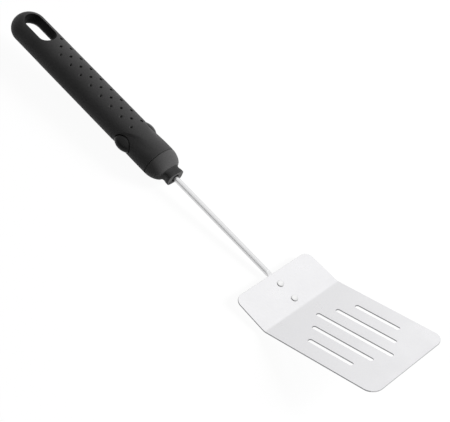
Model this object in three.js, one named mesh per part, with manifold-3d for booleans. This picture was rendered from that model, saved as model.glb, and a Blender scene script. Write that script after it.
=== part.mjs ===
// Barbecue spatula with a pull-off handle. A slotted steel blade is riveted to a round steel shaft.
// The shaft is held in a moulded plug, whose tail latches in the socket of a hollow black handle.
// Squeezing the two side buttons bulges an oval latch ring, which lets the plug go.
//
// The tool is drawn along its shaft: X runs forward to the blade with 0 at the bend, Y to the left,
// Z up, and the shaft's axis is the X axis. It is then tilted until it lies on its heel and handle.

import * as THREE from 'three';
import { mergeVertices } from 'three/addons/utils/BufferGeometryUtils.js';
import Module from 'manifold-3d';

const wasm = await Module();
wasm.setup();

// Blade, in millimetres and degrees
const bladeWidth = 90;
const bladeLength = 108.5; // bend to front edge
const tabLength = 35.8; // bend to rear edge
const bladeThickness = 1.2;
const bendAngle = 23.7;
const bendRadius = 4; // on the upper face, the inside of the bend
const frontCornerRadius = 10;
const rearCornerRadius = 6.5;

// Drain slots
const slotCount = 5;
const slotWidth = 4;
const slotPitch = 14.6;
const longestSlot = 76; // the middle one
const slotShortening = 16; // of each slot against its neighbour nearer the middle
const slotCentre = 53.7; // bend to the line through the slots' middles

// Shaft and its flattened tang under the blade
const shaftDiameter = 5;
const shaftReach = 152.6; // bend to the collar's front face
const shaftInsertion = 62; // length held inside the plug
const tangThickness = 1.6;
const tangWidth = 8.5;
const tangSetback = 3; // bend to the tang's rounded end
const tangTaper = 5; // length over which the round shaft is pressed flat
const tangSpread = 6; // length under the blade over which the flat tang widens
const tangMargin = 1; // flat tang showing behind the blade's rear edge

// Rivets
const rivetDiameter = 4;
const rivetHeadDiameter = 7;
const rivetHeadHeight = 1.1;
const rivetRim = 0.4; // upright edge of the head, under its dome
const rivetTailDiameter = 6;
const rivetTailHeight = 0.7;
const rivetSetback = 8.4; // bend to the front rivet
const rivetPitch = 16.6;

// Plug: collar, neck, nose and tail
const collarWidth = 16.8;
const collarHeight = 12.2;
const collarLength = 8.2;
const collarRim = 2.6; // thickness of the collar's flange
const collarRecess = 7.4; // counterbore round the shaft
const collarRecessDepth = 3;
const neckWidth = 16;
const neckHeight = 11.6;
const noseLength = 14.1;
const noseRoundness = 2; // exponent of the nose's outline, 2 being an ellipse
const tailWidth = 11;
const tailHeight = 14;
const tailLength = 52;
const tailLead = 4; // tapered end of the tail
const tailLeadInset = 1.5;
const latchGrooveDepth = 1.5;
const latchGrooveWidth = 4.2;
const shaftPinDiameter = 2;
const shaftPinInset = 0.5; // pin end below the tail's side
const shaftPinSetback = 13; // seam to pin

// Handle
const handleWidth = 33.2;
const handleHeight = 26.8;
const handleLength = 188.8;
const handleWall = 2.6;
const tailRounding = 16; // length of the rounded rear end
const seamGap = 0.6; // parting line between the nose and the handle
const coreWidth = 20;
const coreHeight = 15;
const coreEnd = 100; // seam to the end of the hollow
const eyeLength = 34.4;
const eyeWidth = 16.8;
const eyeSetback = 11.5; // rear end to the eye
const eyeFlareRadius = 11; // rounding of the eye's lower rim
const eyeFlareStart = 3.4; // height above the axis where the rounding starts
const eyeFlareAngle = 60; // slope at the rounding's end, from upright
const eyeFlareStretch = 1.8; // how much further the rounding runs along the handle than across it

// Socket, latch ring and buttons
const socketRecess = 0.4; // handle's front face to the collar
const socketFloor = 3;
const socketEndPlay = 1; // tail end to the socket's floor
const ringThickness = 3; // along the shaft
const ringWall = 1.8;
const buttonSetback = 28.8; // seam to the buttons' middle
const buttonLength = 18.2;
const buttonHeight = 13.4;
const buttonProud = 3.8; // crown above the handle's side
const buttonSeat = 10.5; // axis to a button's inner face
const buttonTravel = 2;
const buttonEarReach = 2.2; // retaining ear past the button's end
const buttonEarHeight = 7;

const clearance = 0.3; // between touching pieces
const cutMargin = 2; // how far a cut runs past what it cuts
const roundSides = 48;
const smallSides = 24;
const cornerSegments = 10; // per rounded corner or eye end
const slotSegments = 8;
const bendSegments = 6;
const flatPower = 4; // exponents of the near-rectangular sections
const tailPower = 4;
const nosePower = 3.5;
const squarePower = 5;

// Places along the shaft, forward positive
const collarFront = -shaftReach;
const neckFront = collarFront - collarLength;
const noseBack = neckFront - noseLength;
const seam = noseBack - seamGap; // the handle's front face
const handleRear = seam - handleLength;
const tailEnd = noseBack - tailLength;
const shaftEnd = collarFront - shaftInsertion;
const buttonMiddle = seam - buttonSetback;
const ringFront = buttonMiddle + ringThickness / 2;
const ringRear = buttonMiddle - ringThickness / 2;
const socketFloorFace = tailEnd - socketEndPlay;
const socketRear = socketFloorFace - socketFloor;
const pocketRear = socketRear - clearance;
const coreRear = seam - coreEnd;
const eyeMiddle = handleRear + eyeSetback + eyeLength / 2;
const pinPlace = seam - shaftPinSetback;

// Heights and half widths
const tabBottom = tangThickness / 2 + clearance;
const tabTop = tabBottom + bladeThickness;
const handleHalfWidth = handleWidth / 2;
const handleHalfHeight = handleHeight / 2;
const pocketHalfWidth = handleHalfWidth - handleWall;
const pocketHalfHeight = handleHalfHeight - handleWall;
const socketHalfWidth = pocketHalfWidth - clearance;
const socketHalfHeight = pocketHalfHeight - clearance;
const grooveHalfHeight = tailHeight / 2 - latchGrooveDepth;
const buttonRoom = buttonSeat - buttonTravel - clearance;

const steel = new THREE.MeshStandardMaterial({ color: 0xd6d7d9, roughness: 0.35, metalness: 1 });
const springSteel = new THREE.MeshStandardMaterial({ color: 0x9a9ca0, roughness: 0.4, metalness: 1 });
const blackPlastic = new THREE.MeshStandardMaterial({ color: 0x232323, roughness: 0.6, metalness: 0 });
const greyPlastic = new THREE.MeshStandardMaterial({ color: 0x55575a, roughness: 0.6, metalness: 0 });

// A closed solid from a closed geometry
function solid(geometry) {
  const bare = new THREE.BufferGeometry();
  bare.setAttribute('position', geometry.getAttribute('position').clone());
  if (geometry.index) bare.setIndex(geometry.index.clone());
  const merged = mergeVertices(bare);
  return new wasm.Manifold(new wasm.Mesh({
    numProp: 3,
    vertProperties: new Float32Array(merged.getAttribute('position').array),
    triVerts: new Uint32Array(merged.index.array),
  }));
}

function toGeometry(body) {
  const mesh = body.getMesh();
  const geometry = new THREE.BufferGeometry();
  geometry.setAttribute('position', new THREE.BufferAttribute(mesh.vertProperties, 3));
  geometry.setIndex(new THREE.BufferAttribute(mesh.triVerts, 1));
  geometry.computeVertexNormals();
  return geometry;
}

// Axes that a section's first and second directions and its run take
const alongX = (u, v, run) => new THREE.Vector3(run, u, v);
const alongY = (u, v, run) => new THREE.Vector3(v, run, u);
const alongZ = (u, v, run) => new THREE.Vector3(u, v, run);

// Rounded section: power 2 is an ellipse, and higher powers near a rectangle
function section(place, run, halfU, halfV, power = 2, sides = roundSides) {
  const reach = (value) => Math.sign(value) * Math.abs(value) ** (2 / power);
  return Array.from({ length: sides }, (_, i) => {
    const angle = (2 * Math.PI * i) / sides;
    return place(halfU * reach(Math.cos(angle)), halfV * reach(Math.sin(angle)), run);
  });
}

// Skin over a row of sections with flat ends, each section further along than the one before
function loft(sections) {
  const sides = sections[0].length;
  const points = sections.flat();
  const triangles = [];
  for (let s = 0; s + 1 < sections.length; s++) {
    for (let i = 0; i < sides; i++) {
      const a = s * sides + i;
      const b = s * sides + ((i + 1) % sides);
      triangles.push(a, b, b + sides, a, b + sides, a + sides);
    }
  }
  const last = (sections.length - 1) * sides;
  for (let i = 1; i + 1 < sides; i++) {
    triangles.push(0, i + 1, i, last, last + i, last + i + 1);
  }
  const geometry = new THREE.BufferGeometry().setFromPoints(points);
  geometry.setIndex(triangles);
  return geometry;
}

function prism(place, from, to, halfU, halfV, power, sides) {
  return loft([from, to].map((run) => section(place, run, halfU, halfV, power, sides)));
}

function box(x0, x1, y0, y1, z0, z1) {
  const geometry = new THREE.BoxGeometry(x1 - x0, y1 - y0, z1 - z0);
  return geometry.translate((x0 + x1) / 2, (y0 + y1) / 2, (z0 + z1) / 2);
}

// Stadium outline, round at both ends
function stadium(length, width) {
  const radius = width / 2;
  const straight = length / 2 - radius;
  const outline = new THREE.Shape();
  outline.absarc(straight, 0, radius, -Math.PI / 2, Math.PI / 2, false);
  outline.absarc(-straight, 0, radius, Math.PI / 2, Math.PI * 1.5, false);
  return outline;
}

function extrude(shape, depth, curveSegments) {
  return new THREE.ExtrudeGeometry(shape, { depth, bevelEnabled: false, steps: 1, curveSegments });
}

// What is cut away to round a square corner, with the corner at the origin and its sides along +X and +Y
function cornerCut(radius, depth) {
  const outline = new THREE.Shape();
  outline.moveTo(-cutMargin, -cutMargin);
  outline.lineTo(radius, -cutMargin);
  outline.lineTo(radius, 0);
  outline.absarc(radius, radius, radius, -Math.PI / 2, -Math.PI, true);
  outline.lineTo(-cutMargin, radius);
  return extrude(outline, depth, cornerSegments).translate(0, 0, -depth / 2);
}

// The bent strip, seen from its side
function bladeProfile() {
  const bend = THREE.MathUtils.degToRad(bendAngle);
  const start = -Math.PI / 2;
  const arcX = -bendRadius * Math.tan(bend / 2);
  const arcZ = tabTop + bendRadius;
  const frontX = bladeLength * Math.cos(bend);
  const frontZ = tabTop + bladeLength * Math.sin(bend);
  const profile = new THREE.Shape();
  profile.moveTo(-tabLength, tabTop);
  profile.lineTo(-tabLength, tabBottom);
  profile.absarc(arcX, arcZ, bendRadius + bladeThickness, start, start + bend, false);
  profile.lineTo(frontX + bladeThickness * Math.sin(bend), frontZ - bladeThickness * Math.cos(bend));
  profile.lineTo(frontX, frontZ);
  profile.absarc(arcX, arcZ, bendRadius, start + bend, start, true);
  return profile;
}

function bladeGeometry() {
  const bend = THREE.MathUtils.degToRad(bendAngle);
  const cutDepth = 2 * (bladeThickness + cutMargin);
  const onMain = (geometry) => geometry.rotateY(-bend).translate(0, 0, tabTop);
  const strip = extrude(bladeProfile(), bladeWidth, bendSegments).rotateX(Math.PI / 2);
  let blade = solid(strip.translate(0, bladeWidth / 2, 0));

  for (const [side, quarter] of [[-1, 1], [1, 2]]) {
    const cut = cornerCut(frontCornerRadius, cutDepth).rotateZ((quarter * Math.PI) / 2);
    blade = blade.subtract(solid(onMain(cut.translate(bladeLength, (side * bladeWidth) / 2, 0))));
  }
  for (const [side, quarter] of [[-1, 0], [1, -1]]) {
    const cut = cornerCut(rearCornerRadius, cutDepth).rotateZ((quarter * Math.PI) / 2);
    blade = blade.subtract(solid(cut.translate(-tabLength, (side * bladeWidth) / 2, tabTop)));
  }
  for (let i = 0; i < slotCount; i++) {
    const fromMiddle = i - (slotCount - 1) / 2;
    const length = longestSlot - Math.abs(fromMiddle) * slotShortening;
    const cut = extrude(stadium(length, slotWidth), cutDepth, slotSegments);
    blade = blade.subtract(solid(onMain(cut.translate(slotCentre, fromMiddle * slotPitch, -cutDepth / 2))));
  }
  for (const place of rivetPlaces()) {
    const hole = rivetDiameter / 2 + clearance;
    const cut = prism(alongZ, tabBottom - cutMargin, tabTop + cutMargin, hole, hole, 2, smallSides);
    blade = blade.subtract(solid(cut.translate(place, 0, 0)));
  }
  return toGeometry(blade);
}

function rivetPlaces() {
  return [-rivetSetback, -rivetSetback - rivetPitch];
}

// Round shaft whose front end is pressed into a flat tang with a rounded tip
function shaftGeometry() {
  const radius = shaftDiameter / 2;
  const halfWidth = tangWidth / 2;
  const halfHeight = tangThickness / 2;
  const flatRear = -tabLength - tangMargin;
  const tipFront = -tangSetback;
  const sections = [
    section(alongX, shaftEnd, radius, radius, 2, smallSides),
    section(alongX, flatRear - tangTaper, radius, radius, 2, smallSides),
    section(alongX, flatRear, radius, halfHeight, flatPower, smallSides),
    section(alongX, flatRear + tangSpread, halfWidth, halfHeight, flatPower, smallSides),
  ];
  const tipSteps = 5;
  for (let i = 0; i < tipSteps; i++) {
    const angle = (i / tipSteps) * (Math.PI / 2);
    const run = tipFront - halfWidth * (1 - Math.sin(angle));
    sections.push(section(alongX, run, halfWidth * Math.cos(angle), halfHeight, flatPower, smallSides));
  }
  let shaft = solid(loft(sections));
  const rivetHole = rivetDiameter / 2 + clearance;
  for (const place of rivetPlaces()) {
    const cut = prism(alongZ, -tangThickness, tangThickness, rivetHole, rivetHole, 2, smallSides);
    shaft = shaft.subtract(solid(cut.translate(place, 0, 0)));
  }
  return toGeometry(shaft.subtract(pinHole(shaftDiameter)));
}

function pinHole(span) {
  const radius = shaftPinDiameter / 2 + clearance;
  const reach = span / 2 + cutMargin;
  return solid(prism(alongY, -reach, reach, radius, radius, 2, smallSides).translate(pinPlace, 0, 0));
}

function shaftPinGeometry() {
  const reach = tailWidth / 2 - shaftPinInset;
  const pin = new THREE.CylinderGeometry(shaftPinDiameter / 2, shaftPinDiameter / 2, 2 * reach, smallSides);
  return pin.translate(pinPlace, 0, 0);
}

// Rivet with a low domed head on the blade and a flat closed end under the tang
function rivetGeometry() {
  const headSeat = tabTop + clearance;
  const tailSeat = -tangThickness / 2 - clearance;
  const shank = rivetDiameter / 2;
  const head = rivetHeadDiameter / 2;
  const tail = rivetTailDiameter / 2;
  const profile = [
    [0, tailSeat - rivetTailHeight], [tail, tailSeat - rivetTailHeight], [tail, tailSeat], [shank, tailSeat],
    [shank, headSeat], [head, headSeat],
  ];
  const domeBase = headSeat + rivetRim;
  const domeHeight = rivetHeadHeight - rivetRim;
  const domeSteps = 6;
  for (let i = 0; i <= domeSteps; i++) {
    const angle = (i / domeSteps) * (Math.PI / 2);
    const radius = i < domeSteps ? head * Math.cos(angle) : 0;
    profile.push([radius, domeBase + domeHeight * Math.sin(angle)]);
  }
  const points = profile.map(([radius, height]) => new THREE.Vector2(radius, height));
  return new THREE.LatheGeometry(points, smallSides).rotateX(Math.PI / 2);
}

// Collar, neck, rounded nose and tail in one moulding
function nosePlugGeometry() {
  const tailHalfWidth = tailWidth / 2;
  const tailHalfHeight = tailHeight / 2;
  const sections = [
    section(alongX, tailEnd, tailHalfWidth - tailLeadInset, tailHalfHeight - tailLeadInset, tailPower),
    section(alongX, tailEnd + tailLead, tailHalfWidth, tailHalfHeight, tailPower),
    section(alongX, noseBack, tailHalfWidth, tailHalfHeight, tailPower),
  ];
  const noseSteps = 9;
  for (let i = 0; i <= noseSteps; i++) {
    const angle = (i / noseSteps) * (Math.PI / 2);
    const forward = Math.sin(angle) ** (2 / noseRoundness);
    const full = i < noseSteps ? Math.cos(angle) ** (2 / noseRoundness) : 0;
    const halfWidth = THREE.MathUtils.lerp(neckWidth / 2, handleHalfWidth, full);
    const halfHeight = THREE.MathUtils.lerp(neckHeight / 2, handleHalfHeight, full);
    const power = THREE.MathUtils.lerp(nosePower, 2, full);
    sections.push(section(alongX, noseBack + noseLength * forward, halfWidth, halfHeight, power));
  }
  sections.push(section(alongX, collarFront - collarRim, collarWidth / 2, collarHeight / 2, nosePower));
  sections.push(section(alongX, collarFront, collarWidth / 2, collarHeight / 2, nosePower));

  const bore = shaftDiameter / 2 + clearance;
  const recess = collarRecess / 2;
  const recessRear = collarFront - collarRecessDepth;
  const front = collarFront + cutMargin;
  const grooveRear = buttonMiddle - latchGrooveWidth / 2;
  const grooveFront = buttonMiddle + latchGrooveWidth / 2;
  const grooveReach = tailHalfHeight + cutMargin;
  let plug = solid(loft(sections))
    .subtract(solid(prism(alongX, shaftEnd - clearance, front, bore, bore, 2, smallSides)))
    .subtract(solid(prism(alongX, recessRear, front, recess, recess, 2, smallSides)))
    .subtract(pinHole(tailWidth));
  for (const [low, high] of [[grooveHalfHeight, grooveReach], [-grooveReach, -grooveHalfHeight]]) {
    plug = plug.subtract(solid(box(grooveRear, grooveFront, -tailWidth, tailWidth, low, high)));
  }
  return toGeometry(plug);
}

// Hanging eye: straight walls above, and a lower rim that rounds out to the handle's underside
function eyeCut() {
  const ring = (height, grow) => {
    const outline = stadium(eyeLength + 2 * grow * eyeFlareStretch, eyeWidth + 2 * grow);
    return outline.getPoints(cornerSegments).map((p) => alongZ(p.x, p.y, height));
  };
  const steps = 5;
  const steepest = THREE.MathUtils.degToRad(eyeFlareAngle);
  const flare = [];
  for (let i = 0; i <= steps; i++) {
    const angle = (i / steps) * steepest;
    flare.push([eyeFlareStart - eyeFlareRadius * Math.sin(angle), eyeFlareRadius * (1 - Math.cos(angle))]);
  }
  const [deepest, widest] = flare[steps];
  const below = Math.min(-handleHalfHeight, deepest) - cutMargin;
  flare.push([below, widest + (deepest - below) * Math.tan(steepest)]);
  flare.reverse();
  flare.push([handleHalfHeight + cutMargin, 0]);
  return solid(loft(flare.map(([height, grow]) => ring(height, grow))).translate(eyeMiddle, 0, 0));
}

// Hollow oval handle with a round rear end, a socket pocket, button windows and a hanging eye
function handleGripGeometry() {
  const sections = [];
  const steps = 8;
  for (let i = 1; i <= steps; i++) {
    const angle = (i / steps) * (Math.PI / 2);
    const full = Math.sin(angle);
    const run = handleRear + tailRounding * (1 - Math.cos(angle));
    sections.push(section(alongX, run, handleHalfWidth * full, handleHalfHeight * full));
  }
  sections.push(section(alongX, seam, handleHalfWidth, handleHalfHeight));

  const front = seam + cutMargin;
  const windowReach = handleHalfWidth + cutMargin;
  const windowLength = buttonLength / 2 + clearance;
  const windowHeight = buttonHeight / 2 + clearance;
  const window = prism(alongY, -windowReach, windowReach, windowHeight, windowLength, 2);
  const handle = solid(loft(sections))
    .subtract(solid(prism(alongX, pocketRear, front, pocketHalfWidth, pocketHalfHeight)))
    .subtract(solid(prism(alongX, coreRear, front, coreWidth / 2, coreHeight / 2)))
    .subtract(solid(window.translate(buttonMiddle, 0, 0)))
    .subtract(eyeCut());
  return toGeometry(handle);
}

// Room cut beside the latch for the buttons and their ears
function buttonRoomCuts() {
  const reach = buttonLength / 2 + buttonEarReach + clearance;
  const side = socketHalfWidth + cutMargin;
  return [-1, 1].map((way) => {
    const [low, high] = way < 0 ? [-side, -buttonRoom] : [buttonRoom, side];
    return solid(box(buttonMiddle - reach, buttonMiddle + reach, low, high, -handleHeight, handleHeight));
  });
}

// Socket wall around the plug's tail, from one place along the shaft to another
function socketBody(rear, front, boreRear) {
  const boreWidth = tailWidth / 2 + clearance;
  const boreHeight = tailHeight / 2 + clearance;
  let body = solid(prism(alongX, rear, front, socketHalfWidth, socketHalfHeight))
    .subtract(solid(prism(alongX, boreRear, front + cutMargin, boreWidth, boreHeight, tailPower)));
  for (const cut of buttonRoomCuts()) body = body.subtract(cut);
  return toGeometry(body);
}

function socketCollarGeometry() {
  const rear = ringFront + clearance;
  return socketBody(rear, seam - socketRecess, rear - cutMargin);
}

function socketCupGeometry() {
  return socketBody(socketRear, ringRear - clearance, socketFloorFace);
}

// Oval spring ring in the plug's latch groove, squeezed from the sides by the buttons
function latchRingGeometry() {
  const innerWidth = buttonSeat - clearance - ringWall;
  const innerHeight = grooveHalfHeight + clearance;
  const rear = ringRear - cutMargin;
  const front = ringFront + cutMargin;
  const outerWidth = innerWidth + ringWall;
  const outerHeight = innerHeight + ringWall;
  const outer = prism(alongX, ringRear, ringFront, outerWidth, outerHeight, squarePower);
  const inner = prism(alongX, rear, front, innerWidth, innerHeight, squarePower);
  return toGeometry(solid(outer).subtract(solid(inner)));
}

// Height of the handle's side, or of its pocket, above the shaft's axis at a given level
function ovalSide(halfWidth, halfHeight, level) {
  return halfWidth * Math.sqrt(1 - (level / halfHeight) ** 2);
}

// Crowned oval button on the left side, with an ear at each end that holds it behind the handle's wall
function buttonGeometry() {
  const halfLength = buttonLength / 2;
  const halfHeight = buttonHeight / 2;
  const crown = handleHalfWidth + buttonProud;
  const edgeSide = ovalSide(handleHalfWidth, handleHalfHeight, halfHeight);
  const crownLength = halfLength / Math.sqrt(1 - (handleHalfWidth / crown) ** 2);
  const crownHeight = halfHeight / Math.sqrt(1 - (edgeSide / crown) ** 2);
  const dome = new THREE.SphereGeometry(1, roundSides, smallSides).scale(crownLength, crown, crownHeight);
  const earSide = ovalSide(pocketHalfWidth, pocketHalfHeight, buttonEarHeight / 2) - clearance;
  const earReach = halfLength + buttonEarReach;
  const body = solid(prism(alongY, buttonSeat, crown + cutMargin, halfHeight, halfLength, 2))
    .intersect(solid(dome))
    .add(solid(box(-earReach, earReach, buttonSeat, earSide, -buttonEarHeight / 2, buttonEarHeight / 2)));
  return toGeometry(body).translate(buttonMiddle, 0, 0);
}

function piece(name, geometry, material) {
  const mesh = new THREE.Mesh(geometry, material);
  mesh.name = name;
  return mesh;
}

const head = new THREE.Group();
head.add(piece('blade', bladeGeometry(), steel));
head.add(piece('shaft', shaftGeometry(), steel));
['rivet_front', 'rivet_rear'].forEach((name, i) => {
  const rivet = piece(name, rivetGeometry(), steel);
  rivet.position.x = rivetPlaces()[i];
  head.add(rivet);
});
head.add(piece('nose_plug', nosePlugGeometry(), blackPlastic));
head.add(piece('shaft_pin', shaftPinGeometry(), springSteel));

const handle = new THREE.Group();
handle.add(piece('handle_grip', handleGripGeometry(), blackPlastic));
handle.add(piece('socket_collar', socketCollarGeometry(), greyPlastic));
handle.add(piece('socket_cup', socketCupGeometry(), greyPlastic));
handle.add(piece('latch_ring', latchRingGeometry(), springSteel));
handle.add(piece('left_button', buttonGeometry(), blackPlastic));
const rightButton = piece('right_button', buttonGeometry(), blackPlastic);
rightButton.rotation.x = Math.PI;
handle.add(rightButton);

// The tool lies on the front rivet's closed end and on the lower front edge of the handle
const heelX = -rivetSetback + rivetTailDiameter / 2;
const heelZ = -tangThickness / 2 - clearance - rivetTailHeight;
const tool = new THREE.Group();
tool.add(head, handle);
tool.rotation.y = Math.atan2(heelZ + handleHalfHeight, heelX - seam);
tool.updateMatrixWorld(true);

const extent = new THREE.Box3().setFromObject(tool, true);
const middle = extent.getCenter(new THREE.Vector3());
tool.position.set(-middle.x, -middle.y, -extent.min.z);

const spatula = new THREE.Group();
spatula.add(tool);

export default spatula;
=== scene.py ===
"""Looks of a barbecue spatula: slotted steel blade, round shaft and black pull-off handle.

Each piece is drawn in the tool's own frame, in millimetres: X runs forward along the shaft with 0 at the
blade's bend, Y to the left and Z up, with the shaft's axis as the X axis. ToolFrame lays it down, in metres.
"""

import logging
import math
from collections.abc import Sequence
from dataclasses import dataclass, field
from enum import Enum, IntEnum

import bmesh
import bpy
import numpy as np
from mathutils import Matrix, Vector
from mathutils.geometry import delaunay_2d_cdt


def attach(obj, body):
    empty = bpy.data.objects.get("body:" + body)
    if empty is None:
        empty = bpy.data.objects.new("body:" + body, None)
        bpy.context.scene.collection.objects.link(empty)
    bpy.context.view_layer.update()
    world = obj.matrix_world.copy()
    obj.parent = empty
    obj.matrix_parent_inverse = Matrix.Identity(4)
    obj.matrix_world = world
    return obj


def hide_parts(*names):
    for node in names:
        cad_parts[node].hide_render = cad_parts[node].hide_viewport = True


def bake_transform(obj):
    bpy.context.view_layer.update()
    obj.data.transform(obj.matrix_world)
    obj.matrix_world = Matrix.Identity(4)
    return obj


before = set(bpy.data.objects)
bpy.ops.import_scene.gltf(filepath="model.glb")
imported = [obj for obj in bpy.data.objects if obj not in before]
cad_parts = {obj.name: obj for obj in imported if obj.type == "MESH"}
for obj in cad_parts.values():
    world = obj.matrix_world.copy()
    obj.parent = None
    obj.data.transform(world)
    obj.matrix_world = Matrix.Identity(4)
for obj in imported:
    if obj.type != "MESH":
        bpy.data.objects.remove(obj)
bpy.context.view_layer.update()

log = logging.getLogger("spatula")

MM = 0.001
FILL_TOLERANCE = 1e-7
WELD_DISTANCE = 1e-6
SMALLEST_SHARE = 1e-6
CRISP_ANGLE = 38.0
SOFT_CRISP_ANGLE = 50.0
ELLIPSE = 2.0
HOLE_SIDES = 32
DOME_TURN = 84.0
FULL_TURN = 2 * math.pi

RIVET_PLACES = (-8.4, -25.0)
RIVET_HOLE = 2.3
PIN_PLACE = -188.5
PIN_HOLE = 1.3
LATCH_MIDDLE = -204.3
HANDLE_HALF_WIDTH = 16.6
HANDLE_HALF_HEIGHT = 13.4


class Body(Enum):
    """The bodies that pieces ride on."""

    HANDLE = "handle"
    HEAD = "head"
    LEFT_BUTTON = "left_button"
    RIGHT_BUTTON = "right_button"


class Slot(Enum):
    """The record's material slots."""

    BLADE = "blade_steel"
    SHAFT = "shaft_steel"
    RIVET = "rivet_steel"
    NOSE = "nose_plastic"
    GRIP = "grip_plastic"
    BUTTON = "button_plastic"
    SPRING = "spring_steel"


class Coat(IntEnum):
    """Places in a piece's list of finishes."""

    MAIN = 0
    SECOND = 1
    THIRD = 2


class Way(Enum):
    """How a drill runs through the shaft's axis."""

    UPRIGHT = "upright"
    ACROSS = "across"


@dataclass(frozen=True)
class ToolFrame:
    """How the tool lies: its shaft tilted nose down, and the place of the blade's bend."""

    tilt: float = math.radians(3.90125574)
    bend_x: float = 130.33883
    bend_z: float = 1.52064

    def place(self, points: np.ndarray) -> np.ndarray:
        """Takes points from the tool's frame to the row's.

        Args:
            points: rows of X, Y and Z in millimetres.

        Returns:
            The same points in the row's frame, in metres.
        """
        x, y, z = np.asarray(points, float).T
        cos, sin = math.cos(self.tilt), math.sin(self.tilt)
        return np.column_stack((x * cos + z * sin + self.bend_x, y, z * cos - x * sin + self.bend_z)) * MM


TOOL = ToolFrame()


class Skin:
    """Points and faces of one closed surface, in the tool's frame."""

    def __init__(self) -> None:
        """Starts with nothing."""
        self.points: list[np.ndarray] = []
        self.faces: list[tuple[int, ...]] = []
        self.finishes: list[int] = []
        self.count = 0

    def add(self, points: np.ndarray) -> np.ndarray:
        """Adds points.

        Args:
            points: rows of X, Y and Z.

        Returns:
            The numbers of the points.
        """
        points = np.asarray(points, float).reshape(-1, 3)
        numbers = np.arange(self.count, self.count + len(points))
        self.points.append(points)
        self.count += len(points)
        return numbers

    def face(self, corners: Sequence[int], finish: int = Coat.MAIN) -> None:
        """Adds one face.

        Args:
            corners: numbers of its points, in order.
            finish: which of the piece's finishes it has.
        """
        self.faces.append(tuple(int(c) for c in corners))
        self.finishes.append(int(finish))

    def strip(
        self, first: np.ndarray, second: np.ndarray, closed: bool = True,
        finish: int | np.ndarray = Coat.MAIN,
    ) -> None:
        """Joins two rows of as many points with quads.

        Args:
            first: numbers of one row.
            second: numbers of the other row.
            closed: whether the rows are rings.
            finish: which of the piece's finishes the quads have, or each of them.
        """
        last = len(first) if closed else len(first) - 1
        finishes = np.broadcast_to(finish, last)
        for i in range(last):
            j = (i + 1) % len(first)
            self.face((first[i], first[j], second[j], second[i]), finishes[i])

    def rings(self, rows: Sequence[np.ndarray]) -> list[np.ndarray]:
        """Adds rings of points and joins each to the next.

        Args:
            rows: rings of as many points.

        Returns:
            The numbers of each ring's points.
        """
        numbered = [self.add(row) for row in rows]
        for first, second in zip(numbered, numbered[1:]):
            self.strip(first, second)
        return numbered

    def extend(
        self, row: np.ndarray, rows: Sequence[np.ndarray], closed: bool = True,
        finishes: int | Sequence[int] = Coat.MAIN,
    ) -> np.ndarray:
        """Adds rows of points, one after another, to a row that is there already.

        Args:
            row: numbers of the row that is there.
            rows: rows of as many points.
            closed: whether the rows are rings.
            finishes: which of the piece's finishes the quads have, or those of each row.

        Returns:
            The numbers of the last row's points.
        """
        for points, finish in zip(rows, np.broadcast_to(finishes, len(rows))):
            added = self.add(points)
            self.strip(row, added, closed, finish)
            row = added
        return row

    def close(self, rows: Sequence[np.ndarray]) -> None:
        """Closes the first and the last of some rings with a flat face."""
        self.face(rows[0])
        self.face(rows[-1])

    def fan(self, ring: np.ndarray, tip: Sequence[float], closed: bool = True) -> None:
        """Closes a ring with triangles to one point.

        Args:
            ring: numbers of the ring's points.
            tip: the point.
            closed: whether the ring's last point joins its first.
        """
        centre = self.add(np.array([tip]))[0]
        last = len(ring) if closed else len(ring) - 1
        for i in range(last):
            self.face((ring[i], ring[(i + 1) % len(ring)], centre))


def fill(loops: Sequence[np.ndarray], inner: np.ndarray) -> list[tuple[int, int, int]]:
    """Triangulates a flat region.

    Args:
        loops: closed loops of U and V; the first is the outline and the rest are holes.
        inner: more points of the region.

    Returns:
        Triangles, as numbers into the loops' points followed by the inner points.
    """
    points = np.vstack([*loops, inner.reshape(-1, 2)])
    edges: list[tuple[int, int]] = []
    start = 0
    for loop in loops:
        count = len(loop)
        edges += [(start + i, start + (i + 1) % count) for i in range(count)]
        start += count
    made = delaunay_2d_cdt([Vector(p) for p in points], edges, [], 0, FILL_TOLERANCE)
    source = [old[0] for old in made[3]]
    triangles = np.array([[source[c] for c in face] for face in made[2]])
    middles = points[triangles].mean(axis=1)
    inside = np.zeros(len(middles), bool)
    for first, second in edges:
        (u0, v0), (u1, v1) = points[first], points[second]
        spans = (v0 > middles[:, 1]) != (v1 > middles[:, 1])
        if spans.any():
            crossing = u0 + (middles[:, 1] - v0) * (u1 - u0) / (v1 - v0)
            inside ^= spans & (middles[:, 0] < crossing)
    return [tuple(t) for t in triangles[inside].tolist()]


def dealt(numbers: np.ndarray, loops: Sequence[np.ndarray]) -> list[np.ndarray]:
    """Deals out numbers of points to the loops that they belong to.

    Args:
        numbers: the numbers of all the loops' points, and perhaps more.
        loops: the loops.

    Returns:
        The numbers of each loop's points.
    """
    ends = np.cumsum([len(loop) for loop in loops])
    return np.split(numbers[:ends[-1]], ends[:-1])


def circle(radius: float, count: int) -> np.ndarray:
    """Rows of U and V of a circle about 0, anticlockwise."""
    turn = np.linspace(0, FULL_TURN, count, endpoint=False)
    return radius * np.column_stack((np.cos(turn), np.sin(turn)))


def grown(loop: np.ndarray, distance: float) -> np.ndarray:
    """Moves a closed loop outwards.

    Args:
        loop: rows of U and V.
        distance: how far.

    Returns:
        The loop moved along its outward normals.
    """
    ahead, behind = np.roll(loop, -1, axis=0), np.roll(loop, 1, axis=0)
    area = np.sum(loop[:, 0] * ahead[:, 1] - ahead[:, 0] * loop[:, 1])
    along = ahead - behind
    normal = np.column_stack((along[:, 1], -along[:, 0])) * math.copysign(1.0, area)
    return loop + distance * normal / np.linalg.norm(normal, axis=1, keepdims=True)


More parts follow.
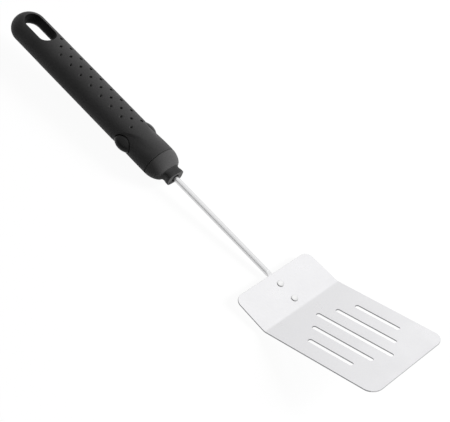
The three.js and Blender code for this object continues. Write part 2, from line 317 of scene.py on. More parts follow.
def eased(start: np.ndarray, corner: np.ndarray, end: np.ndarray, steps: int = 4) -> list[np.ndarray]:
    """Rounds an edge between two surfaces.

    Args:
        start: points on the first surface.
        corner: the sharp edge's points.
        end: points on the second surface.
        steps: how many rows the rounding takes.

    Returns:
        The rows after start, of which the last is end.
    """
    shares = np.linspace(0, 1, steps + 1)[1:]
    return [(1 - t) ** 2 * start + 2 * t * (1 - t) * corner + t * t * end for t in shares]


def oval(run: float, half_y: float, half_z: float, power: float = ELLIPSE, sides: int = 96) -> np.ndarray:
    """A rounded section across the shaft: power 2 is an ellipse, and higher powers near a rectangle.

    Args:
        run: place along the shaft.
        half_y: half its width.
        half_z: half its height.
        power: its squareness.
        sides: how many points it has.

    Returns:
        The section's points.
    """
    angle = np.linspace(0, FULL_TURN, sides, endpoint=False)
    cos, sin = np.cos(angle), np.sin(angle)
    y = half_y * np.sign(cos) * np.abs(cos) ** (2 / power)
    z = half_z * np.sign(sin) * np.abs(sin) ** (2 / power)
    return np.column_stack((np.full(sides, run), y, z))


def smooth(value: np.ndarray | float) -> np.ndarray | float:
    """An S-shaped step from 0 to 1 over values from 0 to 1."""
    t = np.clip(value, 0.0, 1.0)
    return t * t * (3 - 2 * t)


def make_object(
    name: str, skin: Skin, finishes: Sequence[bpy.types.Material], sharp: float = CRISP_ANGLE,
) -> bpy.types.Object:
    """Makes an object of a skin.

    Args:
        name: the object's name.
        skin: its surface.
        finishes: its materials, in the order of the skin's finish numbers.
        sharp: the angle in degrees above which an edge stays crisp.

    Returns:
        The object, at the row's origin.
    """
    mesh = bpy.data.meshes.new(name)
    mesh.from_pydata(TOOL.place(np.vstack(skin.points)).tolist(), [], skin.faces)
    for finish in finishes:
        mesh.materials.append(finish)
    mesh.polygons.foreach_set("material_index", skin.finishes)
    work = bmesh.new()
    work.from_mesh(mesh)
    bmesh.ops.remove_doubles(work, verts=work.verts, dist=WELD_DISTANCE)
    bmesh.ops.recalc_face_normals(work, faces=work.faces)
    work.to_mesh(mesh)
    work.free()
    mesh.shade_smooth()
    mesh.set_sharp_from_angle(angle=math.radians(sharp))
    made = bpy.data.objects.new(name, mesh)
    bpy.context.scene.collection.objects.link(made)
    return made


def cutter(rings: Sequence[np.ndarray], finish: bpy.types.Material) -> bpy.types.Object:
    """A solid to cut with.

    Args:
        rings: its sections, from end to end.
        finish: the material that its cut faces get.

    Returns:
        The solid.
    """
    skin = Skin()
    skin.close(skin.rings(rings))
    return make_object("cutter", skin, [finish])


def drill(
    place: float, radius: float, reach: float, way: Way, finish: bpy.types.Material,
) -> bpy.types.Object:
    """A round solid to cut with, through the shaft's axis.

    Args:
        place: where on the axis it goes through.
        radius: its radius.
        reach: how far it reaches on both sides of the axis.
        way: how it runs.
        finish: the material that its cut faces get.

    Returns:
        The solid.
    """
    x, other = circle(radius, HOLE_SIDES).T
    rings = []
    for end in (-reach, reach):
        flat = np.full(HOLE_SIDES, end)
        y, z = (other, flat) if way is Way.UPRIGHT else (flat, other)
        rings.append(np.column_stack((place + x, y, z)))
    return cutter(rings, finish)


def carve(piece: bpy.types.Object, cutters: Sequence[bpy.types.Object], sharp: float = CRISP_ANGLE) -> None:
    """Cuts solids out of a piece and deletes them.

    Args:
        piece: what is cut.
        cutters: the solids.
        sharp: the angle in degrees above which an edge stays crisp.
    """
    for cutter in cutters:
        cut = piece.modifiers.new("cut", "BOOLEAN")
        cut.operation = "DIFFERENCE"
        cut.solver = "EXACT"
        cut.object = cutter
    graph = bpy.context.evaluated_depsgraph_get()
    mesh = bpy.data.meshes.new_from_object(piece.evaluated_get(graph))
    piece.modifiers.clear()
    piece.data = mesh
    mesh.shade_smooth()
    mesh.set_sharp_from_angle(angle=math.radians(sharp))
    for cutter in cutters:
        bpy.data.objects.remove(cutter)


def ease_edges(piece: bpy.types.Object, width: float, segments: int = 2, angle: float = 40.0) -> None:
    """Rounds a piece's crisp edges a little and keeps its flats flat.

    Args:
        piece: the piece.
        width: size of the rounding, in millimetres.
        segments: how many faces the rounding takes.
        angle: the angle in degrees above which an edge is rounded.
    """
    bevel = piece.modifiers.new("eased_edges", "BEVEL")
    bevel.width = width * MM
    bevel.segments = segments
    bevel.limit_method = "ANGLE"
    bevel.angle_limit = math.radians(angle)
    bevel.harden_normals = False
    bevel.use_clamp_overlap = True
    flats = piece.modifiers.new("flat_faces", "WEIGHTED_NORMAL")
    flats.keep_sharp = False


def join_tool(piece: bpy.types.Object, body: Body, node: str) -> None:
    """Puts a piece on its body in place of its solid.

    Args:
        piece: the piece.
        body: what it rides on.
        node: the solid that it stands for.
    """
    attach(piece, body.value)
    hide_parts(node)
    log.info("%s rides on %s in place of %s", piece.name, body.value, node)


@dataclass(frozen=True)
class Finish:
    """A surface whose tone, roughness and fine relief change from place to place."""

    name: str
    color: tuple[float, float, float]
    roughness: float
    metal: float = 0.0
    gloss: float = 0.5
    roughness_spread: float = 0.06
    tone_spread: float = 0.2
    tone_ends: tuple[float, float] = (0.35, 0.65)
    grain_detail: float = 2.0
    grain_roughness: float = 0.5
    relief_depth: float = 0.03
    relief_strength: float = 0.5
    cloud_scale: float = 38.0
    cloud_detail: float = 3.0
    cloud_ends: tuple[float, float] = (0.3, 0.7)

    def grain_scale(self) -> tuple[float, float, float]:
        """How many grains there are in a metre along each axis."""
        raise NotImplementedError

    def material(self) -> bpy.types.Material:
        """Makes the material.

        Returns:
            The material, with its grain in the row's frame.
        """
        made = bpy.data.materials.new(self.name)
        made.use_nodes = True
        nodes, links = made.node_tree.nodes, made.node_tree.links
        shader = nodes["Principled BSDF"]
        shader.inputs["Metallic"].default_value = self.metal
        shader.inputs["Specular IOR Level"].default_value = self.gloss
        place = nodes.new("ShaderNodeTexCoord")
        stretch = nodes.new("ShaderNodeMapping")
        stretch.inputs["Scale"].default_value = self.grain_scale()
        grain = nodes.new("ShaderNodeTexNoise")
        grain.inputs["Scale"].default_value = 1.0
        grain.inputs["Detail"].default_value = self.grain_detail
        grain.inputs["Roughness"].default_value = self.grain_roughness
        clouds = nodes.new("ShaderNodeTexNoise")
        clouds.inputs["Scale"].default_value = self.cloud_scale
        clouds.inputs["Detail"].default_value = self.cloud_detail
        rough = nodes.new("ShaderNodeMapRange")
        rough.inputs["From Min"].default_value, rough.inputs["From Max"].default_value = self.cloud_ends
        rough.inputs["To Min"].default_value = self.roughness - self.roughness_spread
        rough.inputs["To Max"].default_value = self.roughness + self.roughness_spread
        tone = nodes.new("ShaderNodeValToRGB")
        shares = (1.0 - self.tone_spread, 1.0 + self.tone_spread)
        for stop, end, share in zip(tone.color_ramp.elements, self.tone_ends, shares):
            stop.position = end
            stop.color = (*[min(1.0, c * share) for c in self.color], 1.0)
        bump = nodes.new("ShaderNodeBump")
        bump.inputs["Strength"].default_value = self.relief_strength
        bump.inputs["Distance"].default_value = self.relief_depth * MM
        links.new(place.outputs["Object"], stretch.inputs["Vector"])
        links.new(stretch.outputs["Vector"], grain.inputs["Vector"])
        links.new(place.outputs["Object"], clouds.inputs["Vector"])
        links.new(clouds.outputs["Fac"], rough.inputs["Value"])
        links.new(grain.outputs["Fac"], tone.inputs["Fac"])
        links.new(grain.outputs["Fac"], bump.inputs["Height"])
        links.new(tone.outputs["Color"], shader.inputs["Base Color"])
        links.new(rough.outputs["Result"], shader.inputs["Roughness"])
        links.new(bump.outputs["Normal"], shader.inputs["Normal"])
        return made


@dataclass(frozen=True)
class Steel(Finish):
    """Stainless steel with fine drawn lines along the tool."""

    metal: float = 1.0
    tone_spread: float = 0.03
    tone_ends: tuple[float, float] = (0.3, 0.7)
    grain_detail: float = 3.0
    grain_roughness: float = 0.6
    relief_depth: float = 0.004
    relief_strength: float = 0.35
    cloud_scale: float = 45.0
    cloud_detail: float = 2.0
    line_spacing: float = 0.28
    line_stretch: float = 0.02

    def grain_scale(self) -> tuple[float, float, float]:
        """How many lines there are in a metre, fewer along the tool than across it."""
        across = 1.0 / (self.line_spacing * MM)
        return across * self.line_stretch, across, across


@dataclass(frozen=True)
class MouldedPlastic(Finish):
    """Black moulded plastic with a fine spark-eroded texture."""

    gloss: float = 0.2
    grain: float = 0.35

    def grain_scale(self) -> tuple[float, float, float]:
        """How many grains there are in a metre, the same along every axis."""
        scale = 1.0 / (self.grain * MM)
        return scale, scale, scale


@dataclass
class Blade:
    """Slotted steel sheet with one bend."""

    width: float = 90.0
    length: float = 108.5
    tab: float = 35.8
    thickness: float = 1.2
    top: float = 2.3
    bend: float = math.radians(23.7)
    bend_radius: float = 8.0
    front_radius: float = 10.0
    rear_radius: float = 7.6
    rear_taper: float = 0.8
    slot_count: int = 5
    slot_width: float = 3.8
    slot_pitch: float = 14.6
    longest_slot: float = 76.0
    slot_shortening: float = 16.0
    slot_middle: float = 53.7
    edge: float = 0.16
    edge_shares: tuple[float, ...] = (1.0, 0.62, 0.29, 0.08, 0.0)
    ground_depth: float = 5.0
    corner_steps: int = 14
    bend_steps: int = 10
    bend_margin: float = 1.2
    bend_inset: float = 3.0
    bend_columns: int = 29
    crisp_angle: float = 60.0
    face: Steel = Steel("satin_blade_steel", (0.727, 0.725, 0.737), 0.33)
    # Cut edges and slot walls: rougher shear-cut steel, partly real, made dark as painted shade along the
    # edges.
    edge_shade_steel: Steel = Steel(
        "sheared_blade_edge_painted_shade", (0.28, 0.28, 0.29), 0.45, tone_spread=0.12, line_stretch=0.3,
    )
    ground: Steel = Steel("ground_front_edge", (0.52, 0.52, 0.53), 0.38, line_stretch=1.0)

    @property
    def bend_reach(self) -> float:
        """How far the rounding reaches on both sides of the bend."""
        return self.bend_radius * math.tan(self.bend / 2)

    @property
    def bend_runs(self) -> np.ndarray:
        """Places of the lines that make up the bend."""
        return np.linspace(-self.bend_reach, self.bend_reach, self.bend_steps + 1)

    def fold(self, flat: np.ndarray, depth: np.ndarray | float) -> np.ndarray:
        """Bends points of the flat sheet.

        Args:
            flat: rows of distance from the bend and Y, on the upper face.
            depth: how far below the upper face each is.

        Returns:
            The points on the bent sheet.
        """
        run, side = flat.T
        depth = np.broadcast_to(depth, run.shape)
        reach = self.bend_reach
        angle = np.clip((run + reach) / (2 * reach), 0, 1) * self.bend
        radius = self.bend_radius + depth
        arc_x = -reach + radius * np.sin(angle)
        arc_z = self.top + self.bend_radius - radius * np.cos(angle)
        past = np.where(run > reach, run - reach, np.where(run < -reach, run + reach, 0.0))
        return np.column_stack((arc_x + past * np.cos(angle), side, arc_z + past * np.sin(angle)))

    def outline(self) -> np.ndarray:
        """The sheet's outline, anticlockwise, with points on each line of the bend.

        Returns:
            Rows of distance from the bend and Y.
        """
        half = self.width / 2
        points: list[tuple[float, float]] = [(run, -half) for run in self.bend_runs]
        for y, start in ((-half, -90), (half, 0)):
            points += self.corner(self.length, y, self.front_radius, start)
        points += [(run, half) for run in self.bend_runs[::-1]]
        rear = half - self.rear_taper
        for y, start in ((rear, 90), (-rear, 180)):
            points += self.corner(-self.tab, y, self.rear_radius, start)
        return np.array(points)

    def corner(self, x: float, y: float, radius: float, start: float) -> list[tuple[float, float]]:
        """A rounded corner.

        Args:
            x: the square corner's distance from the bend.
            y: the square corner's Y.
            radius: the rounding's radius.
            start: the angle in degrees where the rounding starts.

        Returns:
            The rounding's points.
        """
        middle = (x - math.copysign(radius, x), y - math.copysign(radius, y))
        angles = np.radians(np.linspace(start, start + 90, self.corner_steps + 1))
        return [(middle[0] + radius * math.cos(a), middle[1] + radius * math.sin(a)) for a in angles]

    def slots(self) -> list[np.ndarray]:
        """The drain slots and rivet holes.

        Returns:
            Loops of distance from the bend and Y, anticlockwise.
        """
        loops = []
        radius = self.slot_width / 2
        turn = np.radians(np.linspace(-90, 90, self.corner_steps + 1))
        for i in range(self.slot_count):
            step = i - (self.slot_count - 1) / 2
            straight = (self.longest_slot - abs(step) * self.slot_shortening) / 2 - radius
            front = np.column_stack((straight + radius * np.cos(turn), radius * np.sin(turn)))
            loops.append(np.vstack((front, -front)) + (self.slot_middle, step * self.slot_pitch))
        loops += [circle(RIVET_HOLE, HOLE_SIDES) + (place, 0.0) for place in RIVET_PLACES]
        return loops

    def bend_points(self) -> np.ndarray:
        """Points on each line of the bend, and beside it on the flats.

        Returns:
            Rows of distance from the bend and Y.
        """
        beside = self.bend_reach + self.bend_margin
        runs = np.concatenate(([-beside], self.bend_runs, [beside]))
        limit = self.width / 2 - self.bend_inset
        sides = np.linspace(-limit, limit, self.bend_columns)
        return np.stack(np.meshgrid(runs, sides, indexing="ij"), axis=-1).reshape(-1, 2)

    def build(self) -> bpy.types.Object:
        """Makes the blade.

        Returns:
            The blade's piece.
        """
        skin = Skin()
        borders = [(self.outline(), -1.0)] + [(loop, 1.0) for loop in self.slots()]
        ease = self.edge * np.array(self.edge_shares)
        inset = np.concatenate((ease, ease[::-1]))
        depth = np.concatenate((ease[::-1], self.thickness - ease))
        flat_loops = []
        upper, lower = [], []
        for loop, way in borders:
            rows = [self.fold(grown(loop, way * step), down) for step, down in zip(inset, depth)]
            numbered = [skin.add(row) for row in rows]
            # Edge faces get the darkened shear-cut finish, painted shade along the cut edges; the front ones
            # get the ground finish.
            cut = np.where(loop[:, 0] > self.length - self.ground_depth, Coat.THIRD, Coat.SECOND)
            for level, (first, second) in enumerate(zip(numbered, numbered[1:])):
                skin.strip(first, second, finish=cut if 0 < level < len(rows) - 2 else Coat.MAIN)
            flat_loops.append(grown(loop, way * self.edge))
            upper.append(numbered[0])
            lower.append(numbered[-1])
        lines = self.bend_points()
        upper.append(skin.add(self.fold(lines, 0.0)))
        lower.append(skin.add(self.fold(lines, self.thickness)))
        triangles = fill(flat_loops, lines)
        for side in (np.concatenate(upper), np.concatenate(lower)):
            for triangle in triangles:
                skin.face(side[list(triangle)])
        finishes = [finish.material() for finish in (self.face, self.edge_shade_steel, self.ground)]
        piece = make_object("blade_sheet", skin, finishes, self.crisp_angle)
        piece.modifiers.new("flat_faces", "WEIGHTED_NORMAL").keep_sharp = False
        join_tool(piece, Body.HEAD, "blade")
        return piece


@dataclass
class Shaft:
    """Round steel rod pressed into a flat tang under the blade."""

    radius: float = 2.5
    rear: float = -214.6
    rear_edge: float = 0.4
    plain_runs: tuple[float, float] = (-120.0, -60.0)
    press_start: float = -40.4
    press_end: float = -36.2
    spread_end: float = -30.8
    tang_half_width: float = 4.25
    tang_half_height: float = 0.8
    tang_front: float = -3.0
    flat_power: float = 4.0
    tang_drill: float = 3.0
    pin_drill: float = 5.0
    sides: int = 48
    press_steps: int = 9
    spread_steps: int = 7
    tip_steps: int = 10
    finish: Steel = Steel("drawn_shaft_steel", (0.68, 0.68, 0.685), 0.30)
    # Paler steel on the far and upper third of the pressed taper: a painted highlight.
    press_highlight_finish: Steel = Steel("pressed_shaft_painted_highlight_steel", (0.84, 0.84, 0.845), 0.36)

    def sections(self) -> list[np.ndarray]:
        """The rod's sections from its rear end to the tang's tip.

        Returns:
            Rings of points.
        """
        end = self.radius - self.rear_edge
        rows = [oval(self.rear, end, end, sides=self.sides)]
        for run in (self.rear + self.rear_edge, *self.plain_runs):
            rows.append(oval(run, self.radius, self.radius, sides=self.sides))
        for share in np.linspace(0, 1, self.press_steps):
            press = smooth(share)
            rows.append(oval(
                self.press_start + share * (self.press_end - self.press_start), self.radius,
                self.radius + press * (self.tang_half_height - self.radius),
                ELLIPSE + press * (self.flat_power - ELLIPSE), self.sides,
            ))
        for share in np.linspace(0, 1, self.spread_steps)[1:]:
            width = self.radius + smooth(share) * (self.tang_half_width - self.radius)
            run = self.press_end + share * (self.spread_end - self.press_end)
            rows.append(oval(run, width, self.tang_half_height, self.flat_power, self.sides))
        for angle in np.radians(np.linspace(0, DOME_TURN, self.tip_steps)):
            run = self.tang_front - self.tang_half_width * (1 - math.sin(angle))
            width = self.tang_half_width * math.cos(angle)
            rows.append(oval(run, width, self.tang_half_height, self.flat_power, self.sides))
        return rows

    def build(self) -> bpy.types.Object:
        """Makes the shaft.

        Returns:
            The shaft's piece.
        """
        skin = Skin()
        sections = self.sections()
        rows = [skin.add(ring) for ring in sections]
        # The far and upper third of each pressed section gets the paler steel, a painted highlight.
        painted_highlight_sides = np.where(np.arange(self.sides) < self.sides // 3, Coat.SECOND, Coat.MAIN)
        for ring, first, second in zip(sections, rows, rows[1:]):
            skin.strip(first, second, finish=painted_highlight_sides if ring[0, 0] >= self.press_start else Coat.MAIN)
        skin.close(rows)
        finish = self.finish.material()
        piece = make_object("shaft_rod", skin, [finish, self.press_highlight_finish.material()])
        cutters = [drill(place, RIVET_HOLE, self.tang_drill, Way.UPRIGHT, finish) for place in RIVET_PLACES]
        cutters.append(drill(PIN_PLACE, PIN_HOLE, self.pin_drill, Way.ACROSS, finish))
        carve(piece, cutters)
        join_tool(piece, Body.HEAD, "shaft")
        return piece


@dataclass
class Rivet:
    """Rivet with a low domed head on the blade and a flat closed end under the tang."""

    node: str
    place: float
    shank: float = 2.0
    head: float = 2.9
    head_seat: float = 2.31
    rim: float = 0.4
    height: float = 1.1
    tail: float = 3.0
    tail_seat: float = -0.81
    tail_height: float = 0.95
    tail_edge: float = 0.35
    tail_ease: float = 0.1
    head_edge: float = 0.05
    sides: int = 64
    dome_steps: int = 15

    def profile(self) -> list[tuple[float, float, Coat]]:
        """The rivet's outline from its closed end to the crown.

        Returns:
            Rows of radius, height and finish of the ring that follows.
        """
        bottom = self.tail_seat - self.tail_height
        rows = [
            (self.tail - self.tail_edge, bottom, Coat.MAIN),
            (self.tail - self.tail_ease, bottom + self.tail_ease, Coat.MAIN),
            (self.tail, bottom + self.tail_edge, Coat.MAIN),
            (self.tail, self.tail_seat, Coat.MAIN),
            (self.shank, self.tail_seat, Coat.MAIN),
            (self.shank, self.head_seat, Coat.MAIN),
            # The head's underside edge and upright rim take the second finish: painted shade, a dark
            # crescent round the head.
            (self.head - self.head_edge, self.head_seat, Coat.SECOND),
            (self.head, self.head_seat + self.head_edge, Coat.SECOND),
        ]
        base = self.head_seat + self.rim
        for angle in np.radians(np.linspace(0, DOME_TURN, self.dome_steps)):
            height = base + (self.height - self.rim) * math.sin(angle)
            rows.append((self.head * math.cos(angle), height, Coat.MAIN))
        return rows

    def build(self, finishes: Sequence[bpy.types.Material]) -> bpy.types.Object:
        """Makes the rivet.

        Args:
            finishes: materials of its faces and of its head's upright rim, which is painted near-black as
                painted shade.

        Returns:
            The rivet's piece.
        """
        skin = Skin()
        rows = []
        for radius, height, finish in self.profile():
            x, y = circle(radius, self.sides).T
            ring = np.column_stack((self.place + x, y, np.full(self.sides, height)))
            rows.append((skin.add(ring), finish))
        for (first, finish), (second, _) in zip(rows, rows[1:]):
            skin.strip(first, second, finish=finish)
        skin.fan(rows[0][0], (self.place, 0.0, self.tail_seat - self.tail_height))
        skin.fan(rows[-1][0], (self.place, 0.0, self.head_seat + self.height))
        piece = make_object(f"{self.node}_dome", skin, finishes)
        join_tool(piece, Body.HEAD, self.node)
        return piece


@dataclass
class NosePlug:
    """Collar, neck, rounded nose and latching tail in one moulding."""

    collar_front: float = -153.0
    collar_half_width: float = 8.4
    collar_half_height: float = 6.1
    collar_rim: float = 2.2
    neck_half_width: float = 8.0
    neck_half_height: float = 5.8
    nose_back: float = -174.9
    seam: float = -173.3
    nose_length: float = 14.1
    lip: float = 0.48
    lip_inset: float = 0.7
    neck_blend: float = 0.965
    neck_blend_end: float = 1.2
    half_width: float = HANDLE_HALF_WIDTH
    half_height: float = HANDLE_HALF_HEIGHT
    nose_power: float = 3.5
    tail_power: float = 4.0
    tail_half_width: float = 5.5
    tail_half_height: float = 7.0
    tail_end: float = -226.9
    tail_lead: float = 4.0
    tail_lead_inset: float = 1.5
    recess: float = 3.7
    recess_depth: float = 3.0
    bore: float = 2.8
    bore_end: float = -214.9
    groove_middle: float = LATCH_MIDDLE
    groove_half_width: float = 2.1
    groove_half_height: float = 5.5
    cut_reach: float = 9.0
    cut_height: float = 12.0
    cut_margin: float = 3.0
    edge: float = 0.45
    edge_share: float = 0.3
    sides: int = 96
    nose_steps: int = 26
    blend_steps: int = 10
    flare_steps: int = 5
    neck_sections: int = 14
    bore_sides: int = 40
    finish: MouldedPlastic = MouldedPlastic("nose_plastic_black", (0.068, 0.0672, 0.0678), 0.6)
    # Darker copy of the nose plastic for neck, collar and cut recesses: painted shade.
    neck_shade_finish: MouldedPlastic = MouldedPlastic("neck_painted_shade_black", (0.024, 0.0238, 0.0241), 0.44)

    def outline(self) -> list[tuple[float, float]]:
        """The nose's outline, an ellipse that a hollow rounding joins to the neck.

        Returns:
            Rows of distance in nose lengths and share of the full section.
        """
        rows = []
        start = math.asin((self.seam - self.nose_back) / self.nose_length)
        for angle in np.linspace(start, math.asin(self.neck_blend), self.nose_steps + 1):
            rows.append((math.sin(angle), math.cos(angle)))
        run, full = rows[-1]
        foot = run + full * full / run
        for t in np.linspace(0, 1, self.blend_steps + 1)[1:]:
            along = (1 - t) ** 2 * run + 2 * t * (1 - t) * foot + t * t * self.neck_blend_end
            rows.append((along, (1 - t) ** 2 * full))
        return rows

    def sections(self) -> list[np.ndarray]:
        """The moulding's sections from the tail to the collar.

        Returns:
            Rings of points.
        """
        ease = self.edge_share * self.edge
        rows = []
        for run, inset in (
            (self.tail_end, self.tail_lead_inset), (self.tail_end + self.tail_lead, 0.0),
            (self.seam - self.lip, 0.0),
        ):
            width, height = self.tail_half_width - inset, self.tail_half_height - inset
            rows.append(oval(run, width, height, self.tail_power))
        for run, inset in (
            (self.seam - self.lip, self.lip_inset), (self.seam, self.lip_inset),
            (self.seam, self.edge), (self.seam + ease, ease),
        ):
            rows.append(oval(run, self.half_width - inset, self.half_height - inset))
        for along, full in self.outline():
            rows.append(oval(
                max(self.nose_back + along * self.nose_length, self.seam + self.edge * (1 + along)),
                self.neck_half_width + full * (self.half_width - self.neck_half_width),
                self.neck_half_height + full * (self.half_height - self.neck_half_height),
                ELLIPSE + (self.nose_power - ELLIPSE) * (1 - full) ** 3, self.sides,
            ))
        neck = self.nose_back + self.neck_blend_end * self.nose_length
        rim = self.collar_front - self.collar_rim
        for t in np.linspace(0, 1, self.flare_steps + 1)[1:]:
            flare = smooth(t)
            rows.append(oval(
                neck + t * (rim - neck),
                self.neck_half_width + flare * (self.collar_half_width - self.neck_half_width),
                self.neck_half_height + flare * (self.collar_half_height - self.neck_half_height),
                self.nose_power, self.sides,
            ))
        width, height = self.collar_half_width, self.collar_half_height
        rows.append(oval(self.collar_front, width, height, self.nose_power))
        return rows

    def groove(self, low: float, high: float, finish: bpy.types.Material) -> bpy.types.Object:
        """A block that cuts one of the tail's two latch grooves.

        Args:
            low: its lower side.
            high: its upper side.
            finish: the material that its cut faces get.

        Returns:
            The block.
        """
        rear = self.groove_middle - self.groove_half_width
        front = self.groove_middle + self.groove_half_width
        side = self.cut_reach
        plan = [(rear, -side), (front, -side), (front, side), (rear, side)]
        return cutter([np.array([(x, y, z) for x, y in plan]) for z in (low, high)], finish)

    def build(self) -> bpy.types.Object:
        """Makes the plug.

        Returns:
            The plug's piece.
        """
        # Neck, collar, latch grooves and bore recess get the darker plastic, painted shade.
        finish = self.neck_shade_finish.material()
        skin = Skin()
        rows = [skin.add(ring) for ring in self.sections()]
        neck = len(rows) - self.neck_sections
        for level, (first, second) in enumerate(zip(rows, rows[1:])):
            skin.strip(first, second, finish=Coat.SECOND if level >= neck else Coat.MAIN)
        skin.close(rows)
        piece = make_object("nose_plug_moulding", skin, [self.finish.material(), finish])
        cutters = [
            self.groove(self.groove_half_height, self.cut_height, finish),
            self.groove(-self.cut_height, -self.groove_half_height, finish),
        ]
        front = self.collar_front + self.cut_margin
        floor = self.collar_front - self.recess_depth
        bores = [(self.bore_end, self.bore), (floor, self.bore), (floor, self.recess), (front, self.recess)]
        rings = [oval(run, size, size, sides=self.bore_sides) for run, size in bores]
        cutters.append(cutter(rings, finish))
        cutters.append(drill(PIN_PLACE, PIN_HOLE, self.cut_reach, Way.ACROSS, finish))
        carve(piece, cutters)
        ease_edges(piece, self.edge)
        join_tool(piece, Body.HEAD, "nose_plug")
        return piece


@dataclass
class Grip:
    """Hollow oval handle with dimples, finger hollows, button windows and a hanging eye."""

    half_width: float = HANDLE_HALF_WIDTH
    half_height: float = HANDLE_HALF_HEIGHT
    front: float = -173.9
    rear: float = -363.3
    rounding: float = 16.0
    seam_angle: float = math.radians(42.0)
    pole_gap: float = 0.8
    edge: float = 0.5
    mouth_edge: float = 0.3
    pocket_half_width: float = 14.0
    pocket_half_height: float = 10.8
    pocket_rear: float = -231.2
    core_half_width: float = 10.0
    core_half_height: float = 7.5
    core_rear: float = -275.5
    window_middle: float = LATCH_MIDDLE
    window_half_length: float = 9.55
    window_half_height: float = 7.05
    window_edge: float = 0.35
    window_sides: int = 80
    fit_steps: int = 5
    eye_middle: float = -335.6
    eye_half_length: float = 17.2
    eye_half_width: float = 8.4
    eye_edge: float = 0.3
    eye_sides: int = 160
    wall_steps: int = 4
    flare_start: float = 3.4
    flare_radius: float = 11.0
    flare_stretch: float = 1.8
    flare_limit: float = math.radians(60.0)
    flare_edge: float = 0.9
    flare_steps: int = 14
    exit_limit: float = 3.0
    exit_steps: int = 40
    # Levels of the eye's wall painted near-black as painted shade.
    eye_wall_shade_levels: tuple[int, int] = (1, 12)
    dimple_radius: float = 1.5
    dimple_depth: float = 1.1
    dimple_power: float = 1.3
    dimple_sides: int = 14
    dimple_shares: tuple[float, ...] = (0.3, 0.55, 0.8, 1.0, 1.2)
    # Each row: side, first and last place, count, and the share of the radius whose floor is painted dark as
    # painted shade.
    dimple_rows: tuple[tuple[float, float, float, int, float], ...] = (
        (7.7, -209.2, -316.4, 9, 0.95), (0.3, -215.0, -308.6, 8, 0.75), (-5.8, -208.2, -301.6, 8, 0.45),
    )
    hollow_depth: float = 1.0
    hollow_edge: tuple[tuple[float, float], ...] = (
        (-40.0, -217.0), (0.0, -216.4), (17.3, -214.4), (44.0, -207.0),
        (53.3, -202.2), (66.4, -196.0), (84.0, -186.0),
    )
    hollow_step: float = 0.8
    hollow_hold: float = 4.0
    hollow_run: float = 24.0
    hollow_top: tuple[float, float] = (40.0, 78.0)
    hollow_bottom: tuple[float, float] = (-42.0, -17.0)
    mesh_step: float = 1.15
    pocket_step: float = 3.0
    hole_clearance: float = 0.55
    dimple_clearance: float = 0.35
    ring_sides: int = 120
    finish: MouldedPlastic = MouldedPlastic(
        "grip_plastic_black", (0.0415, 0.041, 0.0415), 0.62, gloss=0.23,
    )
    # Near-black copy of the grip plastic for the eye's inner wall and dimple floors: painted shade.
    eye_and_dimple_shade_finish: MouldedPlastic = MouldedPlastic(
        "eye_and_dimple_painted_shade_black", (0.0055, 0.0055, 0.0057), 0.6, gloss=0.05,
    )
    dimples: list[tuple[float, float]] = field(default_factory=list)
    dimple_shade_radii: list[float] = field(default_factory=list)

    def __post_init__(self) -> None:
        """Places the dimples, as distance along the handle and angle round it, and sizes their dark floors
        of painted shade.
        """
        for side, first, last, count, floor in self.dimple_rows:
            angle = math.acos(side / self.half_width)
            self.dimples += [(run, angle) for run in np.linspace(first, last, count)]
            self.dimple_shade_radii += [floor * self.dimple_radius] * count

    @property
    def round_scale(self) -> float:
        """Millimetres round the handle for each radian, about."""
        return (self.half_width + self.half_height) / 2

    @property
    def straight_rear(self) -> float:
        """Where the handle's rear end starts to round."""
        return self.rear + self.rounding

    def along(self, distance: np.ndarray) -> tuple[np.ndarray, np.ndarray]:
        """Follows the handle's outline, round its rear end too.

        Args:
            distance: place along the outline.

        Returns:
            X, and the share of the full section there.
        """
        turn = np.clip((self.straight_rear - distance) / self.rounding, 0.0, math.pi / 2)
        x = np.where(turn > 0, self.straight_rear - self.rounding * np.sin(turn), distance)
        return x, np.cos(turn)

    def distance(self, x: np.ndarray) -> np.ndarray:
        """Place along the outline of a given X."""
        bend = np.clip((self.straight_rear - x) / self.rounding, 0.0, 1.0)
        return np.where(bend > 0, self.straight_rear - self.rounding * np.arcsin(bend), x)

    def relief(self, distance: np.ndarray, angle: np.ndarray) -> np.ndarray:
        """How far the surface stands out of the plain oval.

        Args:
            distance: place along the outline.
            angle: angle round the handle.

        Returns:
            Heights in millimetres, below 0 in dimples and finger hollows.
        """
        height = np.zeros_like(distance)
        for run, turn in self.dimples:
            off = np.hypot(distance - run, (angle - turn) * self.round_scale) / self.dimple_radius
            height -= self.dimple_depth * np.maximum(0.0, 1 - off**2) ** self.dimple_power
        rise, edge = np.array(self.hollow_edge).T
        up = np.degrees(np.arcsin(np.clip(np.sin(angle), -1, 1)))
        past = distance - np.interp(up, rise, edge)
        step = smooth(past / self.hollow_step)
        back = 1 - smooth((past - self.hollow_hold) / self.hollow_run)
        (high, crest), (low, foot) = self.hollow_top, self.hollow_bottom
        fade = (1 - smooth((up - high) / (crest - high))) * smooth((up - low) / (foot - low))
        return height - self.hollow_depth * step * back * fade

    def surface(self, flat: np.ndarray) -> np.ndarray:
        """The handle's outside.

        Args:
            flat: rows of place along the outline and millimetres round the handle.

        Returns:
            The points.
        """
        distance, angle = flat[:, 0], flat[:, 1] / self.round_scale
        x, full = self.along(distance)
        cos, sin = np.cos(angle), np.sin(angle)
        slope = np.hypot(cos / self.half_width, sin / self.half_height)
        lift = self.relief(distance, angle)
        y = self.half_width * full * cos + lift * cos / self.half_width / slope
        z = self.half_height * full * sin + lift * sin / self.half_height / slope
        return np.column_stack((x, y, z))

    def unrolled(self, points: np.ndarray) -> np.ndarray:
        """Takes points of the plain oval to place along the outline and millimetres round the handle.

        Args:
            points: rows of X, Y and Z.

        Returns:
            Rows of place and millimetres, from the mesh's seam on.
        """
        around = self.around(points, self.half_width, self.half_height)
        return np.column_stack((self.distance(points[:, 0]), around))

